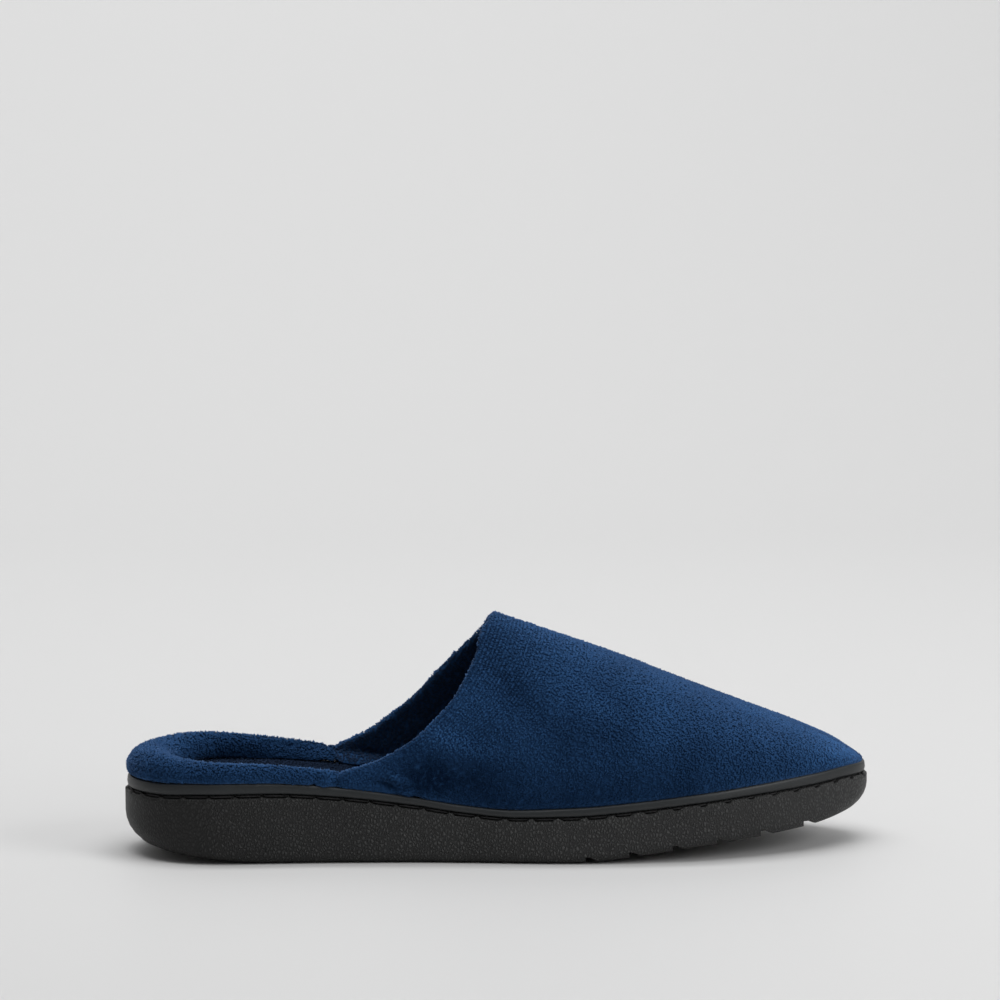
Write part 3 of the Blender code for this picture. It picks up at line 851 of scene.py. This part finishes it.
def pile_material(name, deep, raised, patches, speckle, sheen):
    """Pile cloth, for the ground and its tufts: a tuft is darker at its root, and the cloth darker between
    the ribs of the knit than on them, both painted shade. A stored value on each point paints further light
    and shade."""
    made, tree, shader = blank_material(
        name, Roughness=0.95, Specular_IOR_Level=0.06, Sheen_Weight=sheen, Sheen_Roughness=0.4
    )
    shader.inputs["Sheen Tint"].default_value = (0.30, 0.50, 0.95, 1.0)

    def stored(label):
        return put(tree, "ShaderNodeAttribute", attribute_name=label).outputs["Fac"]

    wave = maths(tree, "COSINE", maths(tree, "MULTIPLY", stored("from_throat"), math.tau / RIB_PITCH))
    # Painted shade: the cloth lighter on the ribs of the knit and darker between them.
    ribs = maths(tree, "MULTIPLY", stored("ribbing"), maths(tree, "MULTIPLY", wave, RIB_PAINTED_SHADE))
    # The stored value paints light and shade on the pile: lighter where light fell, darker in shade, with
    # some brushed patches of the nap.
    nap_and_painted_light = maths(tree, "ADD", ribs, maths(tree, "ADD", stored("glow"), CLOTH_LIFT))
    own = maths(tree, "MULTIPLY_ADD", stored("tint"), TUFT_TINT, nap_and_painted_light)
    # Painted shade: each tuft darker at its root than at its tip.
    lift = maths(tree, "MULTIPLY_ADD", stored("rise"), ROOT_PAINTED_SHADE, own)
    cloth = put(tree, "ShaderNodeGroup", node_tree=pile_cloth)
    for label, value in (("Deep", deep), ("Raised", raised), ("Patches", patches), ("Speckle", speckle)):
        cloth.inputs[label].default_value = value
    tree.links.new(lift, cloth.inputs["Lift"])
    tree.links.new(cloth.outputs["Color"], shader.inputs["Base Color"])
    nap = put(tree, "ShaderNodeAttribute", attribute_name="nap").outputs["Vector"]
    facing = put(tree, "ShaderNodeNewGeometry").outputs["Normal"]
    own_way = scaled(tree, facing, 1.0 - NAP_SOFTNESS)
    soft = vectors(tree, "NORMALIZE", vectors(tree, "ADD", own_way, scaled(tree, nap, NAP_SOFTNESS)))
    bump = put(tree, "ShaderNodeBump", {**LOOP_BUMP, "Height": cloth.outputs["Height"], "Normal": soft})
    tree.links.new(bump.outputs[0], shader.inputs["Normal"])
    return made


pile_tuft = tuft_shape()
pile_cloth = cloth_effect()
terry = pile_material(
    "navy_terry_pile", (0.004, 0.009, 0.022, 1.0), (0.036, 0.072, 0.155, 1.0), 0.20, 0.12, 0.3
)
footbed = merged_copy("insole", "footbed")
finish_with(footbed, "SUBSURF", levels=COVER_LEVELS, render_levels=COVER_LEVELS)
points, normals = as_arrays(footbed)
up_to, flat_from = FOOTBED_EDGE
at_edge = smooth_step(*up_to, normals[:, 2]) * (1 - smooth_step(*flat_from, normals[:, 2]))
move_points(footbed, points + normals * (FOOTBED_EDGE_SWELL * at_edge)[:, None])
points, normals = as_arrays(footbed)
keep_on_points(
    footbed,
    pile=smooth_step(*FOOTBED_PILE, normals[:, 2]),
    stand=1.0,
    from_throat=0.0,
    ribbing=0.0,
    glow=FOOTBED_PAINTED_SHADE,
)
footbed_pile = grow_pile("footbed_pile", footbed, **FOOTBED_TUFTS)
for piece in (footbed, footbed_pile):
    piece.data.materials.append(terry)
    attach(piece, "root")
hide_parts("insole")


# Vamp. One piece of navy velour over thin foam, lined with terry and lasted over the
# forefoot up to the instep. Its rim is turned in at the throat, its hem is caught under
# the band, and fine ribs of the knit show beside the throat.

THROAT_HEIGHTS = (31.0, 36.0, 40.0, 45.0, 50.0, 57.0, 65.0, 73.0, 83.0)
THROAT_STATIONS = (73.0, 84.0, 94.0, 101.0, 107.0, 114.0, 120.0, 124.5, 130.0)

# Pairs of numbers are where a soft change starts and ends.
RIB_FADE = (6.0, 70.0)
RIB_HEIGHTS = (28.0, 44.0)
VAMP_MIDDLE = 22.0
MIDDLE_STATIONS = (110.0, 215.0)
SKIN_SPLIT = (-0.05, 0.25)
HEM_DROP = 0.5
HEM_REACH = 3.0
HEM_SWELL = 0.55
SWELL_HEIGHT = 4.0
LATERAL_FLATTENING = 0.22
FLAT_SIDE = (0.0, 14.0)
FLAT_START = (4.0, 30.0)
FLAT_END = (76.0, 108.0)
RIM_REACH = (0.0, 6.0)
RIM_STEP = 0.9
RIM_ROUNDING = 1.6
FAR_RIM_DRAW = 1.0
NEAR_SIDE = (-2.0, 10.0)
RIM_CORNER = 77.0
RIM_CORNER_REACH = 4.5
SEAM_OVERLAP = 0.8
SEAM_END = (73.0, 80.0)
SEAM_TOP = 45.0
LINING_FOOT = 9.0
LINING_ROUND = 4.5
LINING_FACES = (-0.2, 0.4)
LINING_REACH = 6.0
LINING_START = (30.0, 45.0)
LINING_END = (225.0, 240.0)
LINING_PILE_END = (165.0, 200.0)
HEM_START = 0.3
OVER_HEM = (0.2, 1.0)
HEM_PILE = (0.5, 3.5)
TOE_PILE = (215.0, 258.0)
TOE_SHORTENING = 0.55
RIDGE_SHIFT = 1.0
RIDGE_SPLIT = (-0.6, 0.6)
PATCH_SIDE = (0.0, 6.0)
VAMP_TUFTS = {"tufts_per_mm2": 2.9, "width": 0.52, "height": 1.0, "lean": (0.30, 0.0, -0.25)}
LINING_TUFTS = {"tufts_per_mm2": 2.0, "width": 0.52, "height": 0.8, "lean": (0.0, 0.0, -0.2), "seed": 41}

# Soft ovals on one side of the shoe. In a crease a depth above 0 is a trough and below 0 a ridge. In a patch
# it lightens the pile, and below 0 darkens it: painted light on the toe and on the ridges of the folds by the
# seam, painted shade low on the side and in a fold's trough, and brushed patches of the nap.
CREASE_COLUMNS = ("side", "station", "height", "reach_along", "reach_up", "slope", "depth")
VAMP_CREASES = (
    (-1, 88.0, 29.2, 3.6, 1.3, -0.25, 1.7),
    (-1, 93.5, 30.4, 3.4, 1.3, -0.45, -1.4),
    (-1, 92.5, 27.2, 3.4, 1.3, -0.70, 1.8),
    (-1, 97.5, 25.6, 3.2, 1.3, -1.0, -1.3),
    (-1, 100.5, 23.2, 3.0, 1.2, -0.9, 1.3),
    (-1, 86.0, 33.0, 6.0, 2.2, 0.10, -0.6),
    (-1, 133.0, 62.0, 12.0, 6.0, -1.2, 0.7),
    (-1, 109.0, 44.5, 8.0, 4.0, 0.9, -0.9),
    (-1, 150.0, 26.0, 26.0, 5.0, 0.05, 0.6),
    (1, 88.0, 29.0, 4.6, 1.3, -0.3, 1.1),
    (1, 95.0, 26.5, 3.6, 1.3, -0.8, 1.0),
    (1, 140.0, 56.0, 14.0, 6.0, -1.0, 0.6),
    (1, 155.0, 26.0, 24.0, 5.0, 0.05, 0.6),
)
LIGHT_AND_NAP_PATCHES = (
    (-1, 112.0, 43.5, 13.0, 3.6, -0.37, 0.50),
    (-1, 80.0, 30.0, 9.0, 4.0, 0.35, 0.14),
    (-1, 132.0, 62.0, 9.0, 7.0, -0.6, -0.28),
    (-1, 165.0, 53.0, 9.0, 4.5, -0.3, 0.24),
    (-1, 106.0, 30.0, 17.0, 7.0, 0.0, -0.42),
    (-1, 150.0, 22.0, 50.0, 8.0, 0.0, -0.28),
    (-1, 188.0, 34.0, 22.0, 8.0, 0.1, -0.12),
    (-1, 225.0, 42.0, 24.0, 9.0, -0.2, 0.12),
    (-1, 256.0, 34.0, 16.0, 12.0, 0.0, 0.58),
    (-1, 93.5, 30.4, 3.6, 1.0, -0.45, 0.42),
    (-1, 97.5, 25.6, 3.4, 1.0, -1.0, 0.42),
    (-1, 91.5, 27.4, 3.6, 1.1, -0.70, -0.10),
    (1, 165.0, 50.0, 16.0, 6.0, -0.3, 0.12),
    (1, 252.0, 34.0, 13.0, 12.0, 0.0, 0.25),
)


def falling_off(points, rows):
    """The sum of soft oval patches on one side of the shoe, times their last value."""
    total = np.zeros(len(points))
    for row in rows:
        crease = dict(zip(CREASE_COLUMNS, row))
        along = points[:, 0] - crease["station"]
        up = points[:, 2] - crease["height"] - crease["slope"] * along
        falloff = np.exp(-((along / crease["reach_along"]) ** 2) - (up / crease["reach_up"]) ** 2)
        on_side = smooth_step(*PATCH_SIDE, crease["side"] * (points[:, 1] - CENTRE_Y))
        total += falloff * on_side * crease["depth"]
    return total


def pressed(points, normals, creases):
    """Points moved in by soft troughs, and out where a crease's depth is negative."""
    return points - normals * falling_off(points, creases)[:, None]


def band_tops(points):
    return np.array([welt_top(station) for station in points[:, 0]])


def tucked(points, normals):
    """The hem let down onto the band, and the lining's foot swollen in over the band's
    inner edge, down to the insole."""
    side = np.sign(points[:, 1] - np.interp(points[:, 0], sole_table["station"], sole_table["centre"]))
    edge = np.array([side_of_outline(station, sign) for station, sign in zip(points[:, 0], side)])
    inset = np.abs(edge - points[:, 1])
    above = points[:, 2] - band_tops(points)
    turned_in = smooth_step(*LINING_FACES, -side * normals[:, 1])
    along_side = smooth_step(*LINING_START, points[:, 0]) * (1 - smooth_step(*LINING_END, points[:, 0]))
    low = 1 - smooth_step(HEM_START, LINING_ROUND, above)
    moved = points.copy()
    moved[:, 1] -= side * np.clip(LINING_FOOT - inset, 0.0, LINING_REACH) * low * turned_in * along_side
    moved[:, 2] -= HEM_DROP * (1 - smooth_step(HEM_START, HEM_REACH, above))
    return moved


def facing_out(points, normals):
    """1 on the outer skin, 0 on the lining."""
    stations = points[:, 0]
    middle = np.stack([
        np.clip(stations, *MIDDLE_STATIONS),
        np.interp(stations, sole_table["station"], sole_table["centre"]),
        np.full(len(points), VAMP_MIDDLE),
    ], axis=1)
    away = points - middle
    away /= np.linalg.norm(away, axis=1, keepdims=True)
    return smooth_step(*SKIN_SPLIT, (away * normals).sum(axis=1))


def settled(points):
    """The lateral side pressed lower over the band, from the heel to past the seam."""
    lateral = smooth_step(*FLAT_SIDE, CENTRE_Y - points[:, 1]) * smooth_step(*FLAT_START, points[:, 0])
    lateral *= 1 - smooth_step(*FLAT_END, points[:, 0])
    moved = points.copy()
    moved[:, 2] -= np.maximum(points[:, 2] - band_tops(points), 0.0) * LATERAL_FLATTENING * lateral
    return moved


def standing(points):
    """How tall the pile stands: short at the hem, and shorter towards the toe."""
    over_hem = 0.5 + 0.5 * smooth_step(*HEM_PILE, points[:, 2] - band_tops(points))
    return over_hem * (1 - TOE_SHORTENING * smooth_step(*TOE_PILE, points[:, 0]))


def past_throat(points):
    """How far ahead of the throat's edge each point lies, at its own height."""
    return points[:, 0] - np.interp(points[:, 2], THROAT_HEIGHTS, THROAT_STATIONS)


vamp = merged_copy("vamp", "vamp_cover")
finish_with(vamp, "SUBSURF", levels=COVER_LEVELS, render_levels=COVER_LEVELS)
points, normals = as_arrays(vamp)
outside = facing_out(points, normals)
swell = HEM_SWELL * np.exp(-(((points[:, 2] - band_tops(points) - SWELL_HEIGHT) / SWELL_HEIGHT) ** 2))
points = tucked(pressed(points, normals, VAMP_CREASES) + normals * (swell * outside)[:, None], normals)
# The whole rim steps ahead a little. At the throat's top corner the lateral rim then comes
# back, and the far one goes further ahead. Low at the side seams the vamp reaches a little
# over the collar's ends.
at_rim = 1 - smooth_step(*RIM_REACH, past_throat(points))
points[:, 0] += RIM_STEP * at_rim
lateral = smooth_step(*NEAR_SIDE, CENTRE_Y - points[:, 1])
rounding = RIM_ROUNDING * lateral - FAR_RIM_DRAW * (1 - lateral)
at_corner = np.exp(-(((points[:, 2] - RIM_CORNER) / RIM_CORNER_REACH) ** 2))
points[:, 0] -= rounding * at_rim * at_corner
points[:, 0] -= SEAM_OVERLAP * (1 - smooth_step(*SEAM_END, points[:, 0])) * (points[:, 2] < SEAM_TOP)
move_points(vamp, settled(points))
points, normals = as_arrays(vamp)
outside = facing_out(points, normals)
over_hem = smooth_step(*OVER_HEM, points[:, 2] - band_tops(points))
from_throat = past_throat(points)
ribbing = outside * (1 - smooth_step(*RIB_FADE, from_throat)) * smooth_step(*RIB_HEIGHTS, points[:, 2])
keep_on_points(
    vamp,
    pile=outside * over_hem,
    stand=standing(points),
    from_throat=from_throat,
    ribbing=ribbing,
    glow=falling_off(points, LIGHT_AND_NAP_PATCHES),
)
velour = pile_material(
    "navy_velour_pile", (0.003, 0.014, 0.044, 1.0), (0.036, 0.115, 0.290, 1.0), 0.30, 0.06, 0.6
)


def one_side(piece, side):
    """A copy of the vamp whose pile grows on one side of the ridge only."""
    made = piece.copy()
    made.data = piece.data.copy()
    bpy.context.collection.objects.link(made)
    at = as_arrays(made)[0]
    ridge = np.interp(at[:, 0], sole_table["station"], sole_table["centre"]) + RIDGE_SHIFT
    grown = np.empty(len(at), dtype=np.float32)
    made.data.attributes["pile"].data.foreach_get("value", grown)
    keep_on_points(made, pile=grown * smooth_step(*RIDGE_SPLIT, side * (at[:, 1] - ridge)))
    return made


for name, side, seed in (("vamp_pile_lateral", -1, 21), ("vamp_pile_medial", 1, 31)):
    ground = one_side(vamp, side)
    pile = grow_pile(name, ground, seed=seed, **VAMP_TUFTS)
    bpy.data.objects.remove(ground)
    pile.data.materials.append(velour)
    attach(pile, "root")

lined = (1 - outside) * over_hem * (1 - smooth_step(*LINING_PILE_END, points[:, 0]))
keep_on_points(vamp, pile=lined, glow=0.0)
lining_pile = grow_pile("lining_pile", vamp, **LINING_TUFTS)
lining_pile.data.materials.append(terry)
vamp.data.materials.append(velour)
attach(lining_pile, "root")
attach(vamp, "root")
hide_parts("vamp")


# Heel collar. A fat roll of foam in the same velour, from one side seam round the heel
# to the other. Its lower edge is caught under the band, and its ends are sewn to the
# vamp, where the seam pulls the pile together.

COLLAR_CREASES = (
    (-1, 65.5, 29.6, 1.3, 2.4, 1.2, 1.1),
    (-1, 68.5, 29.4, 1.2, 2.4, 1.2, -0.9),
    (-1, 71.0, 31.0, 1.2, 2.4, 1.0, 0.2),
    (-1, 30.0, 29.0, 9.0, 3.0, 0.02, -0.35),
    (1, 71.0, 29.0, 2.0, 5.0, 0.6, 0.8),
    (1, 48.0, 31.0, 9.0, 3.0, 0.02, -0.35),
)
# Patches of painted light and shade on the collar's pile: lighter on its lateral side, at its back and at the
# seam, darker on its medial side.
COLLAR_LIGHT_PATCHES = (
    (-1, 40.0, 30.0, 40.0, 8.0, 0.0, 0.10),
    (-1, 67.0, 28.0, 1.6, 2.5, 1.2, 0.14),
    (-1, 8.0, 34.0, 10.0, 9.0, 0.0, 0.12),
    (1, 50.0, 28.0, 36.0, 5.0, 0.0, -0.16),
)
COLLAR_SEAM = (64.0, 71.0)
COLLAR_TUFTS = {"tufts_per_mm2": 3.0, "width": 0.52, "height": 1.05, "lean": (0.0, 0.0, -0.1), "seed": 51}

collar = merged_copy("heel_collar", "collar_roll")
finish_with(collar, "SUBSURF", levels=COVER_LEVELS + 1, render_levels=COVER_LEVELS + 1)
points, normals = as_arrays(collar)
points = settled(tucked(pressed(points, normals, COLLAR_CREASES), normals))
points[:, 0] += SEAM_OVERLAP * smooth_step(*COLLAR_SEAM, points[:, 0])
move_points(collar, points)
points, normals = as_arrays(collar)
over_hem = smooth_step(*OVER_HEM, points[:, 2] - band_tops(points))
keep_on_points(
    collar,
    pile=over_hem,
    stand=standing(points),
    from_throat=0.0,
    ribbing=0.0,
    glow=falling_off(points, COLLAR_LIGHT_PATCHES),
)
collar_pile = grow_pile("collar_pile", collar, **COLLAR_TUFTS)
for piece in (collar, collar_pile):
    piece.data.materials.append(velour)
    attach(piece, "root")
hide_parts("heel_collar")
bpy.data.objects.remove(pile_tuft)


# Studio. A pale floor that sweeps up behind the shoe, a large soft light overhead, a
# softer one from the toe's side, and the camera at the photograph's angle.

FLOOR_HALF = 3.0
SWEEP_START = 0.9
SWEEP_RADIUS = 0.9
SWEEP_STEPS = 24
SWEEP_HEIGHT = 2.4
FLOOR_DROP = 0.0002
PAPER = (0.64, 0.64, 0.64, 1.0)
AIR_LIGHT = 0.21

bpy.ops.object.select_all(action="DESELECT")
bpy.ops.mesh.primitive_plane_add(size=2.0, location=(0, 0, 0))
floor = bpy.context.object
floor.name = "studio_floor"
bpy.ops.object.mode_set(mode="EDIT")
cage = bmesh.from_edit_mesh(floor.data)
for vert in cage.verts:
    vert.co.x *= FLOOR_HALF
    vert.co.y = SWEEP_START if vert.co.y > 0 else -FLOOR_HALF
    vert.co.z = -FLOOR_DROP
for edge in cage.edges:
    edge.select_set(all(vert.co.y > 0 for vert in edge.verts))
bmesh.update_edit_mesh(floor.data)
for k in range(SWEEP_STEPS):
    turn = math.pi / 2 * (k + 0.5) / SWEEP_STEPS
    step = 2 * SWEEP_RADIUS * math.sin(math.pi / 4 / SWEEP_STEPS)
    bpy.ops.mesh.extrude_edges_move(
        TRANSFORM_OT_translate={"value": (0, step * math.cos(turn), step * math.sin(turn))}
    )
bpy.ops.mesh.extrude_edges_move(TRANSFORM_OT_translate={"value": (0, 0, SWEEP_HEIGHT)})
bpy.ops.object.mode_set(mode="OBJECT")
bpy.ops.object.shade_smooth()
paper, tree, shader = blank_material("studio_paper", Roughness=0.55, Specular_IOR_Level=0.25)
shader.inputs["Base Color"].default_value = PAPER
floor.data.materials.append(paper)


def soft_light(name, place, aim, width, depth, power):
    lamp = bpy.data.lights.new(name, "AREA")
    lamp.shape = "RECTANGLE"
    lamp.size, lamp.size_y, lamp.energy = width, depth, power
    made = bpy.data.objects.new(name, lamp)
    bpy.context.collection.objects.link(made)
    made.location = place
    made.rotation_euler = (Vector(aim) - Vector(place)).to_track_quat("-Z", "Y").to_euler()
    return made


soft_light("overhead_softbox", (0.12, -0.20, 1.7), (0.0, 0.0, 0.0), 1.6, 1.4, 16.5)
soft_light("toe_side_softbox", (1.10, -0.75, 0.7), (0.06, 0.0, 0.03), 0.7, 0.7, 8.2)
soft_light("backdrop_light", (-0.25, 0.5, 2.4), (-0.25, 2.2, 1.0), 2.4, 0.8, 39.0)

world = bpy.data.worlds.new("studio_air")
world.use_nodes = True
world.node_tree.nodes["Background"].inputs["Color"].default_value = (1.0, 1.0, 1.0, 1.0)
world.node_tree.nodes["Background"].inputs["Strength"].default_value = AIR_LIGHT
bpy.context.scene.world = world
bpy.context.scene.view_settings.view_transform = "Standard"
bpy.context.scene.view_settings.look = "None"

IMAGE_SIZE = 1000.0
CAMERA_TURN = math.radians(-5.0)
CAMERA_RISE = math.radians(9.4)
CAMERA_DISTANCE = 1.6
PIXELS_PER_MM = 2.88
AIM = Vector((0.0, -0.037, 0.040))
AIM_PIXEL = (508.0, 748.0)

back = Vector((
    math.sin(CAMERA_TURN) * math.cos(CAMERA_RISE),
    -math.cos(CAMERA_TURN) * math.cos(CAMERA_RISE),
    math.sin(CAMERA_RISE),
))
lens = bpy.data.cameras.new("photo_camera")
lens.sensor_width = 36.0
lens.lens = PIXELS_PER_MM / MM * CAMERA_DISTANCE / IMAGE_SIZE * lens.sensor_width
lens.shift_x = (IMAGE_SIZE / 2 - AIM_PIXEL[0]) / IMAGE_SIZE
lens.shift_y = (AIM_PIXEL[1] - IMAGE_SIZE / 2) / IMAGE_SIZE
camera = bpy.data.objects.new("photo_camera", lens)
bpy.context.collection.objects.link(camera)
camera.location = AIM + back * CAMERA_DISTANCE
camera.rotation_euler = (-back).to_track_quat("-Z", "Y").to_euler()
bpy.context.scene.camera = camera
